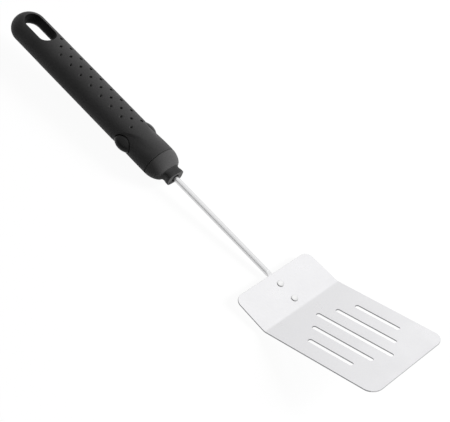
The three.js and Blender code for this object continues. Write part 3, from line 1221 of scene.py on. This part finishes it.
    def around(self, points: np.ndarray, half_width: float, half_height: float) -> np.ndarray:
        """Millimetres round the handle of points on an oval.

        Args:
            points: rows of X, Y and Z.
            half_width: half the oval's width.
            half_height: half the oval's height.

        Returns:
            The millimetres, from the mesh's seam on.
        """
        angle = np.arctan2(points[:, 2] / half_height, points[:, 1] / half_width)
        return (np.mod(angle - self.seam_angle, FULL_TURN) + self.seam_angle) * self.round_scale

    def fitted(self, outline: np.ndarray) -> np.ndarray:
        """Unrolls an outline so that it keeps its height where the surface has hollows.

        Args:
            outline: points on the plain oval.

        Returns:
            Rows of place and millimetres round.
        """
        aim = outline.copy()
        for _ in range(self.fit_steps):
            aim[:, 2] += outline[:, 2] - self.surface(self.unrolled(aim))[:, 2]
        return self.unrolled(aim)

    def window(self, side: float, half_width: float, half_height: float) -> np.ndarray:
        """A button window's outline on an oval.

        Args:
            side: 1 on the left and -1 on the right.
            half_width: half the oval's width.
            half_height: half the oval's height.

        Returns:
            The points.
        """
        cos, sin = circle(1.0, self.window_sides).T
        x = self.window_middle + self.window_half_length * cos
        z = self.window_half_height * sin
        return np.column_stack((x, side * half_width * np.sqrt(1 - (z / half_height) ** 2), z))

    def eye_plan(self, grow: np.ndarray | float) -> np.ndarray:
        """The eye's outline seen from above, widened.

        Args:
            grow: how far each point has moved out.

        Returns:
            Rows of X and Y.
        """
        straight = self.eye_half_length - self.eye_half_width
        quarter = self.eye_sides // 4
        right = math.pi / 2
        front = np.linspace(-right, right, quarter, endpoint=False)
        turn = np.concatenate((front, np.full(quarter, right), front + math.pi, np.full(quarter, -right)))
        across = np.linspace(1, -1, quarter, endpoint=False)
        shift = np.concatenate((np.ones(quarter), across, -np.ones(quarter), -across))
        grow = np.broadcast_to(grow, self.eye_sides)
        radius = self.eye_half_width + grow
        reach = straight + grow * (self.flare_stretch - 1)
        x = self.eye_middle + shift * reach + radius * np.cos(turn)
        return np.column_stack((x, radius * np.sin(turn)))

    def flare(self, turn: np.ndarray | float) -> tuple[np.ndarray, np.ndarray]:
        """The eye's wall below its straight part.

        Args:
            turn: how far round the flare, in radians, going straight on past its limit.

        Returns:
            Height and growth there.
        """
        bent = np.minimum(turn, self.flare_limit)
        on = (np.asarray(turn) - bent) * self.flare_radius
        height = self.flare_start - self.flare_radius * np.sin(bent) - on * math.cos(self.flare_limit)
        return height, self.flare_radius * (1 - np.cos(bent)) + on * math.sin(self.flare_limit)

    def eye_wall(self, turn: np.ndarray) -> np.ndarray:
        """Points of the eye's flare, one for each point of its outline.

        Args:
            turn: how far round the flare each is.

        Returns:
            The points.
        """
        height, grow = self.flare(turn)
        plan = self.eye_plan(grow)
        return np.column_stack((plan, np.broadcast_to(height, len(plan))))

    def outside(self, points: np.ndarray) -> np.ndarray:
        """Tells points outside the plain oval from those inside.

        Args:
            points: rows of X, Y and Z.

        Returns:
            Values above 0 for points outside.
        """
        _, full = self.along(self.distance(points[:, 0]))
        full = np.maximum(full, SMALLEST_SHARE)
        return np.hypot(points[:, 1] / self.half_width / full, points[:, 2] / self.half_height / full) - 1

    def eye_exit(self) -> np.ndarray:
        """How far round the flare each point of the eye's outline leaves the handle.

        Returns:
            The turns.
        """
        low, high = np.zeros(self.eye_sides), np.full(self.eye_sides, self.exit_limit)
        for _ in range(self.exit_steps):
            middle = (low + high) / 2
            out = self.outside(self.eye_wall(middle)) > 0
            low, high = np.where(out, low, middle), np.where(out, middle, high)
        return (low + high) / 2

    def inner_points(
        self, loops: Sequence[np.ndarray], low: float, high: float, step: float,
    ) -> np.ndarray:
        """A grid of points between a region's loops.

        Args:
            loops: the region's outline and holes.
            low: lowest place along the outline.
            high: highest place along the outline.
            step: the grid's spacing.

        Returns:
            Rows of place and millimetres round.
        """
        around = FULL_TURN * self.round_scale
        first = self.seam_angle * self.round_scale
        runs = np.linspace(low, high, int((high - low) / step) + 1)[1:-1]
        turns = first + np.linspace(0, around, int(around / step) + 1)[1:-1]
        grid = np.stack(np.meshgrid(runs, turns, indexing="ij"), axis=-1).reshape(-1, 2)
        keep = np.ones(len(grid), bool)
        for loop in loops[1:]:
            gap = np.linalg.norm(grid[:, None] - loop[None], axis=2).min(axis=1)
            keep &= gap > self.hole_clearance * step
        for run, turn in self.dimples:
            off = np.hypot(grid[:, 0] - run, grid[:, 1] - turn * self.round_scale)
            keep &= off > self.dimple_radius + self.dimple_clearance * step
        return grid[keep]

    def dimple_points(self) -> np.ndarray:
        """Points that carry the dimples' shape.

        Returns:
            Rows of place and millimetres round.
        """
        rows = []
        for run, turn in self.dimples:
            centre = np.array((run, turn * self.round_scale))
            rows.append(centre[None])
            for share in self.dimple_shares:
                rows.append(centre + circle(share * self.dimple_radius, self.dimple_sides))
        return np.vstack(rows)

    def border(self, low: float, high: float) -> np.ndarray:
        """The unrolled handle's outline, from its front edge round to its rear edge.

        Args:
            low: the rear edge's place.
            high: the front edge's place.

        Returns:
            Rows of place and millimetres round: the front edge, a side, the rear edge and the other side.
        """
        first = self.seam_angle * self.round_scale
        turns = first + np.linspace(0, FULL_TURN * self.round_scale, self.ring_sides + 1)
        runs = np.linspace(high, low, int((high - low) / self.mesh_step) + 1)[1:-1]
        front = np.column_stack((np.full(len(turns), high), turns))
        side = np.column_stack((runs, np.full(len(runs), turns[-1])))
        rear = np.column_stack((np.full(len(turns), low), turns[::-1]))
        other = np.column_stack((runs[::-1], np.full(len(runs), turns[0])))
        return np.vstack((front, side, rear, other))

    def edges(self, outline: np.ndarray) -> tuple[np.ndarray, np.ndarray]:
        """The front edge and the rear edge of the unrolled handle's outline.

        Args:
            outline: the outline's points, or their numbers.

        Returns:
            Those of the front edge and those of the rear edge.
        """
        wide = self.ring_sides + 1
        half = len(outline) // 2
        return outline[:wide], outline[half:half + wide]

    def open_ring(self, run: float, half_width: float, half_height: float) -> np.ndarray:
        """A section whose last point is on its first, in step with the unrolled outline.

        Args:
            run: place along the shaft.
            half_width: half its width.
            half_height: half its height.

        Returns:
            The points.
        """
        angle = self.seam_angle + np.linspace(0, FULL_TURN, self.ring_sides + 1)
        x = np.full(len(angle), run)
        return np.column_stack((x, half_width * np.cos(angle), half_height * np.sin(angle)))

    def build_outside(self, skin: Skin) -> dict[str, np.ndarray]:
        """Adds the handle's outside, with its rims.

        Args:
            skin: what it is added to.

        Returns:
            The numbers of the rims that the inside joins: front, left and right window.
        """
        pole = self.straight_rear - self.rounding * math.pi / 2
        low, high = pole + self.pole_gap, self.front - self.edge
        corners: list[np.ndarray] = []
        holes: list[np.ndarray] = []
        for side in (1.0, -1.0):
            corners.append(self.fitted(self.window(side, self.half_width, self.half_height)))
            holes.append(grown(corners[-1], self.window_edge))
        plan = self.eye_plan(0.0)
        _, full = self.along(self.distance(plan[:, 0]))
        height = self.half_height * full * np.sqrt(1 - (plan[:, 1] / self.half_width / full) ** 2)
        corners.append(self.unrolled(np.column_stack((plan, height))))
        holes.append(grown(corners[-1], self.eye_edge))
        leave = self.eye_exit()
        corners.append(self.unrolled(self.eye_wall(leave)))
        holes.append(grown(corners[-1], self.flare_edge))

        loops = [self.border(low, high), *holes]
        inner = np.vstack((self.inner_points(loops, low, high, self.mesh_step), self.dimple_points()))
        triangles = fill(loops, inner)
        flat = np.vstack([*loops, inner])
        numbers = skin.add(self.surface(flat))
        pits = np.array([(run, turn * self.round_scale) for run, turn in self.dimples])
        # Faces near a dimple's middle get the near-black plastic, painted shade in the pit.
        shade_radii = np.array(self.dimple_shade_radii)
        for triangle in triangles:
            off = np.linalg.norm(pits - flat[list(triangle)].mean(axis=0), axis=1)
            skin.face(numbers[list(triangle)], Coat.SECOND if np.any(off < shade_radii) else Coat.MAIN)

        rims = dealt(numbers, loops)
        front_edge, rear_edge = self.edges(rims[0])
        skin.fan(rear_edge, (self.rear, 0.0, 0.0), closed=False)

        found: dict[str, np.ndarray] = {}
        shoulder = self.surface(self.edges(loops[0])[0])
        corner = self.open_ring(self.front, self.half_width, self.half_height)
        inset = self.open_ring(self.front, self.half_width - self.edge, self.half_height - self.edge)
        found["front"] = skin.extend(front_edge, eased(shoulder, corner, inset), closed=False)

        for name, side, i in (("left", 1.0, 1), ("right", -1.0, 2)):
            sharp = self.surface(corners[i - 1])
            down = sharp - (0.0, side * self.window_edge, 0.0)
            found[name] = skin.extend(rims[i], eased(self.surface(loops[i]), sharp, down))

        sharp = self.surface(corners[2])
        down = sharp - (0.0, 0.0, self.eye_edge)
        walls = eased(self.surface(loops[3]), sharp, down)
        straight = np.column_stack((plan, np.full(len(plan), self.flare_start)))
        walls += [down + share * (straight - down) for share in np.linspace(0, 1, self.wall_steps + 1)[1:]]
        stop = leave - self.flare_edge / self.flare_radius
        walls += [self.eye_wall(share * stop) for share in np.linspace(0, 1, self.flare_steps + 1)[1:]]
        walls += eased(walls[-1], self.eye_wall(leave), self.surface(loops[4]))[:-1]
        # The eye's inner wall gets the near-black plastic, painted shade.
        coats = np.full(len(walls), Coat.MAIN)
        coats[slice(*self.eye_wall_shade_levels)] = Coat.SECOND
        skin.strip(skin.extend(rims[3], walls, finishes=coats), rims[4])
        return found

    def build_inside(self, skin: Skin, rims: dict[str, np.ndarray]) -> None:
        """Adds the socket pocket and the hollow behind it.

        Args:
            skin: what they are added to.
            rims: the outside's rims.
        """
        width, height = self.pocket_half_width, self.pocket_half_height
        high, low = self.front - self.mouth_edge, self.pocket_rear
        holes = []
        for side in (1.0, -1.0):
            points = self.window(side, width, height)
            holes.append(np.column_stack((points[:, 0], self.around(points, width, height))))
        loops = [self.border(low, high), *holes]
        grid = self.inner_points(loops, low, high, self.pocket_step)
        flat = np.vstack([*loops, grid])
        angle = flat[:, 1] / self.round_scale
        numbers = skin.add(np.column_stack((flat[:, 0], width * np.cos(angle), height * np.sin(angle))))
        for triangle in fill(loops, grid):
            skin.face(numbers[list(triangle)])
        outline, left, right = dealt(numbers, loops)
        skin.strip(rims["left"], left)
        skin.strip(rims["right"], right)
        front_edge, rear_edge = self.edges(outline)
        mouth = skin.add(self.open_ring(self.front, width + self.mouth_edge, height + self.mouth_edge))
        skin.strip(rims["front"], mouth, closed=False)
        skin.strip(mouth, front_edge, closed=False)
        core = (self.core_half_width, self.core_half_height)
        rows = [self.open_ring(run, *core) for run in (self.pocket_rear, self.core_rear)]
        row = skin.extend(rear_edge[::-1], rows, closed=False)
        skin.fan(row, (self.core_rear, 0.0, 0.0), closed=False)

    def build(self) -> bpy.types.Object:
        """Makes the handle.

        Returns:
            The handle's piece.
        """
        skin = Skin()
        self.build_inside(skin, self.build_outside(skin))
        finishes = [self.finish.material(), self.eye_and_dimple_shade_finish.material()]
        piece = make_object("handle_grip_shell", skin, finishes, SOFT_CRISP_ANGLE)
        join_tool(piece, Body.HANDLE, "handle_grip")
        return piece


@dataclass
class Button:
    """Crowned oval release button with a flange behind the handle's wall."""

    body: Body
    side: float
    middle: float = LATCH_MIDDLE
    half_length: float = 8.95
    half_height: float = 6.55
    grip_half_width: float = HANDLE_HALF_WIDTH
    grip_half_height: float = HANDLE_HALF_HEIGHT
    proud: float = 3.8
    seat: float = 10.5
    flange_half_length: float = 11.3
    flange_top: float = 11.3
    edge: float = 0.45
    sides: int = 96
    first_share: float = 0.08
    crown_steps: int = 14

    def crown(self, x: np.ndarray, z: np.ndarray) -> np.ndarray:
        """Height of the button's domed face above the handle's middle plane.

        Args:
            x: distance from the button's middle along the handle.
            z: distance from the button's middle across it.

        Returns:
            The heights.
        """
        top = self.grip_half_width + self.proud
        low = self.grip_half_width * math.sqrt(1 - (self.half_height / self.grip_half_height) ** 2)
        length = self.half_length / math.sqrt(1 - (self.grip_half_width / top) ** 2)
        height = self.half_height / math.sqrt(1 - (low / top) ** 2)
        return top * np.sqrt(np.maximum(0.0, 1 - (x / length) ** 2 - (z / height) ** 2))

    def ring(self, share: float) -> tuple[np.ndarray, np.ndarray]:
        """A ring of the button's face.

        Args:
            share: its size against the button's outline.

        Returns:
            Distances from the button's middle, along and across the handle.
        """
        cos, sin = circle(share, self.sides).T
        return self.half_length * cos, self.half_height * sin

    def build(self, finish: bpy.types.Material) -> bpy.types.Object:
        """Makes the button.

        Args:
            finish: its material.

        Returns:
            The button's piece.
        """
        skin = Skin()
        rows = []
        shoulder = 1 - self.edge / self.half_height
        for share in np.linspace(self.first_share, shoulder, self.crown_steps):
            x, z = self.ring(share)
            rows.append(np.column_stack((x, self.crown(x, z), z)))
        x, z = self.ring(1.0)
        rim = np.column_stack((x, self.crown(x, z), z))
        rows += eased(rows[-1], rim, rim - (0.0, self.edge, 0.0))
        wide = x * self.flange_half_length / self.half_length
        for run, height in ((x, self.flange_top), (wide, self.flange_top), (wide, self.seat)):
            rows.append(np.column_stack((run, np.full(self.sides, height), z)))
        place = np.array((self.middle, 0.0, 0.0))
        numbered = skin.rings([row * (1.0, self.side, 1.0) + place for row in rows])
        tip = self.grip_half_width + self.proud
        skin.fan(numbered[0], place + (0.0, self.side * tip, 0.0))
        skin.face(numbered[-1])
        piece = make_object(f"{self.body.value}_cap", skin, [finish])
        join_tool(piece, self.body, self.body.value)
        return piece


@dataclass
class LatchRing:
    """Oval spring ring round the plug's tail, in two halves that their own buttons squeeze."""

    middle: float = LATCH_MIDDLE
    half_width: float = 10.2
    half_height: float = 7.6
    wall: float = 1.8
    half_length: float = 1.5
    power: float = 5.0
    edge: float = 0.25
    joint_gap: float = 0.02
    squeeze_from: float = 5.5
    squeeze_to: float = 9.6
    steps: int = 60

    def section(self) -> list[tuple[float, float]]:
        """The wall's section.

        Returns:
            Rows of depth below the ring's outside and place along the shaft.
        """
        long, short = self.half_length, self.half_length - self.edge
        outside = [(self.edge, long), (0.0, short), (0.0, -short), (self.edge, -long)]
        return outside + [(self.wall - depth, along) for depth, along in outside[::-1]]

    def build(self, body: Body, side: float, finish: bpy.types.Material) -> bpy.types.Object:
        """Makes the half of the ring at one button.

        Args:
            body: the button that squeezes it.
            side: 1 on the left and -1 on the right.
            finish: its material.

        Returns:
            The half's piece.
        """
        skin = Skin()
        depth, along = np.array(self.section()).T
        rows = []
        for turn in np.linspace(-math.pi / 2, math.pi / 2, self.steps + 1):
            cos, sin = abs(math.cos(turn)) ** (2 / self.power), abs(math.sin(turn)) ** (2 / self.power)
            y = self.joint_gap + (self.half_width - depth - self.joint_gap) * cos
            z = (self.half_height - depth) * math.copysign(sin, turn)
            rows.append(np.column_stack((self.middle + along, side * y, z)))
        skin.close(skin.rings(rows))
        name = f"latch_ring_{body.value.split('_')[0]}_half"
        piece = make_object(name, skin, [finish], SOFT_CRISP_ANGLE)
        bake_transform(piece)
        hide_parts("latch_ring")
        log.info("%s bends between handle and %s", piece.name, body.value)
        return piece


@dataclass
class Socket:
    """Plain inner pieces that show only when the head is out of the handle."""

    plain: MouldedPlastic = MouldedPlastic("socket_plastic_grey", (0.09, 0.09, 0.10), 0.5, gloss=0.4)

    def dress(self, spring: bpy.types.Material) -> None:
        """Gives the socket and the shaft pin their finishes.

        Args:
            spring: the pin's material.
        """
        plain = self.plain.material()
        for node, finish in (("socket_collar", plain), ("socket_cup", plain), ("shaft_pin", spring)):
            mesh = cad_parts[node].data
            mesh.materials.clear()
            mesh.materials.append(finish)
            log.info("%s has finish %s", node, finish.name)


@dataclass(frozen=True)
class Lamp:
    """One soft light that faces the tool."""

    name: str
    place: tuple[float, float, float]
    width: float
    height: float
    brightness: float
    mirrored: bool = True

    def build(self) -> None:
        """Makes the light, as bright to look at as its brightness says, where white is 1."""
        data = bpy.data.lights.new(self.name, "AREA")
        data.shape = "RECTANGLE"
        data.size = self.width
        data.size_y = self.height
        data.energy = self.brightness * math.pi * self.width * self.height
        made = bpy.data.objects.new(self.name, data)
        made.location = self.place
        made.visible_glossy = self.mirrored
        made.rotation_euler = (-Vector(self.place)).to_track_quat("-Z", "Y").to_euler()
        bpy.context.scene.collection.objects.link(made)


@dataclass
class Studio:
    """Floor, light and camera."""

    eye: tuple[float, float, float] = (0.41495, -0.6742, 0.82576)
    right: tuple[float, float, float] = (0.68734, 0.6829, 0.24729)
    up: tuple[float, float, float] = (-0.64056, 0.4095, 0.64963)
    back: tuple[float, float, float] = (0.34226, -0.605, 0.719)
    lens: float = 109.33
    sensor: float = 36.0
    clip: float = 0.01
    floor_half: float = 9.0
    floor_drop: float = 0.0002
    floor_tone: float = 0.06
    floor_glow: float = 0.95
    matt: float = 0.9
    sky: float = 0.18
    card_span: tuple[float, float] = (-2.6, 1.4)
    card_place: float = -1.6
    card_height: float = 0.9
    card_glow: float = 0.38
    lamps: tuple[Lamp, ...] = (
        Lamp("key", (1.16, 1.19, 0.97), 0.7, 0.7, 37.7, mirrored=False),
        Lamp("panel", (-0.34, 1.0, 1.25), 1.2, 2.7, 0.25),
    )

    def camera(self) -> None:
        """Makes the camera at the photograph's place."""
        data = bpy.data.cameras.new("camera")
        data.lens = self.lens
        data.sensor_width = self.sensor
        data.clip_start = self.clip
        made = bpy.data.objects.new("camera", data)
        bpy.context.scene.collection.objects.link(made)
        turn = Matrix((self.right, self.up, self.back)).transposed().to_4x4()
        made.matrix_world = Matrix.Translation(Vector(self.eye)) @ turn
        bpy.context.scene.camera = made

    def seen(self, tree: bpy.types.NodeTree) -> bpy.types.NodeSocket:
        """Adds nodes that are 1 for rays that show the background.

        Args:
            tree: what they are added to.

        Returns:
            The socket that is 1 for camera, glossy and transmission rays.
        """
        path = tree.nodes.new("ShaderNodeLightPath")
        found = path.outputs["Is Camera Ray"]
        for ray in ("Is Glossy Ray", "Is Transmission Ray"):
            either = tree.nodes.new("ShaderNodeMath")
            either.operation = "MAXIMUM"
            tree.links.new(found, either.inputs[0])
            tree.links.new(path.outputs[ray], either.inputs[1])
            found = either.outputs[0]
        return found

    def sheet(self, name: str, corners: Sequence[Sequence[float]], tone: float) -> bpy.types.Object:
        """Makes a matt sheet of the set, ready to glow white.

        Args:
            name: its name.
            corners: its four corners, in order.
            tone: how pale it is.

        Returns:
            The sheet.
        """
        mesh = bpy.data.meshes.new(name)
        mesh.from_pydata(corners, [], [(0, 1, 2, 3)])
        made = bpy.data.objects.new(name, mesh)
        bpy.context.scene.collection.objects.link(made)
        paint = bpy.data.materials.new(f"{name}_paint")
        paint.use_nodes = True
        shader = paint.node_tree.nodes["Principled BSDF"]
        shader.inputs["Base Color"].default_value = (tone, tone, tone, 1.0)
        shader.inputs["Roughness"].default_value = self.matt
        shader.inputs["Specular IOR Level"].default_value = 0.0
        shader.inputs["Emission Color"].default_value = (1.0, 1.0, 1.0, 1.0)
        mesh.materials.append(paint)
        return made

    def floor(self) -> None:
        """Makes the pale floor, which glows towards the camera and keeps the tool's shadow."""
        half = self.floor_half
        corners = [(-half, -half, 0), (half, -half, 0), (half, half, 0), (-half, half, 0)]
        made = self.sheet("floor", corners, self.floor_tone)
        made.location.z = -self.floor_drop
        tree = made.data.materials[0].node_tree
        glow = tree.nodes.new("ShaderNodeMath")
        glow.operation = "MULTIPLY"
        glow.inputs[1].default_value = self.floor_glow
        tree.links.new(self.seen(tree), glow.inputs[0])
        tree.links.new(glow.outputs[0], tree.nodes["Principled BSDF"].inputs["Emission Strength"])

    def card(self) -> None:
        """Makes the grey card behind the camera, which only reflections show."""
        left, right = self.card_span
        foot = [(left, self.card_place, 0.0), (right, self.card_place, 0.0)]
        head = [(right, self.card_place, self.card_height), (left, self.card_place, self.card_height)]
        made = self.sheet("grey_card", foot + head, 0.0)
        made.visible_camera = False
        made.visible_diffuse = False
        made.visible_shadow = False
        shader = made.data.materials[0].node_tree.nodes["Principled BSDF"]
        shader.inputs["Emission Strength"].default_value = self.card_glow

    def world(self) -> None:
        """Makes the white surroundings."""
        world = bpy.data.worlds.new("studio")
        bpy.context.scene.world = world
        world.use_nodes = True
        tree = world.node_tree
        tree.nodes.clear()
        out = tree.nodes.new("ShaderNodeOutputWorld")
        mix = tree.nodes.new("ShaderNodeMixShader")
        tree.links.new(self.seen(tree), mix.inputs[0])
        for strength, socket in ((self.sky, mix.inputs[1]), (1.0, mix.inputs[2])):
            light = tree.nodes.new("ShaderNodeBackground")
            light.inputs["Color"].default_value = (1.0, 1.0, 1.0, 1.0)
            light.inputs["Strength"].default_value = strength
            tree.links.new(light.outputs[0], socket)
        tree.links.new(mix.outputs[0], out.inputs["Surface"])

    def build(self) -> None:
        """Makes the studio."""
        bpy.context.scene.view_settings.view_transform = "Standard"
        self.camera()
        self.floor()
        self.card()
        self.world()
        for lamp in self.lamps:
            lamp.build()


def main() -> None:
    """Builds the studio and every piece."""
    logging.basicConfig(level=logging.INFO, format="%(name)s: %(message)s")
    Studio().build()
    Blade().build()
    Shaft().build()
    rivet_finishes = [
        Steel("bright_rivet_steel", (0.74, 0.74, 0.74), 0.3, line_stretch=1.0).material(),
        # Second rivet finish: near-black painted shade on the head's rim.
        Steel("rivet_rim_painted_shade_steel", (0.04, 0.04, 0.042), 0.5, line_stretch=1.0).material(),
    ]
    for node, place in zip(("rivet_front", "rivet_rear"), RIVET_PLACES):
        Rivet(node, place).build(rivet_finishes)
    NosePlug().build()
    Grip().build()
    button_black = MouldedPlastic("button_plastic_black", (0.017, 0.017, 0.0172), 0.30, gloss=0.16)
    button_finish = button_black.material()
    sides = ((Body.LEFT_BUTTON, 1.0), (Body.RIGHT_BUTTON, -1.0))
    for body, side in sides:
        Button(body, side).build(button_finish)
    spring_finish = Steel("bright_spring_steel", (0.50, 0.50, 0.52), 0.28).material()
    for body, side in sides:
        LatchRing().build(body, side, spring_finish)
    Socket().dress(spring_finish)


if __name__ == "__main__":
    main()
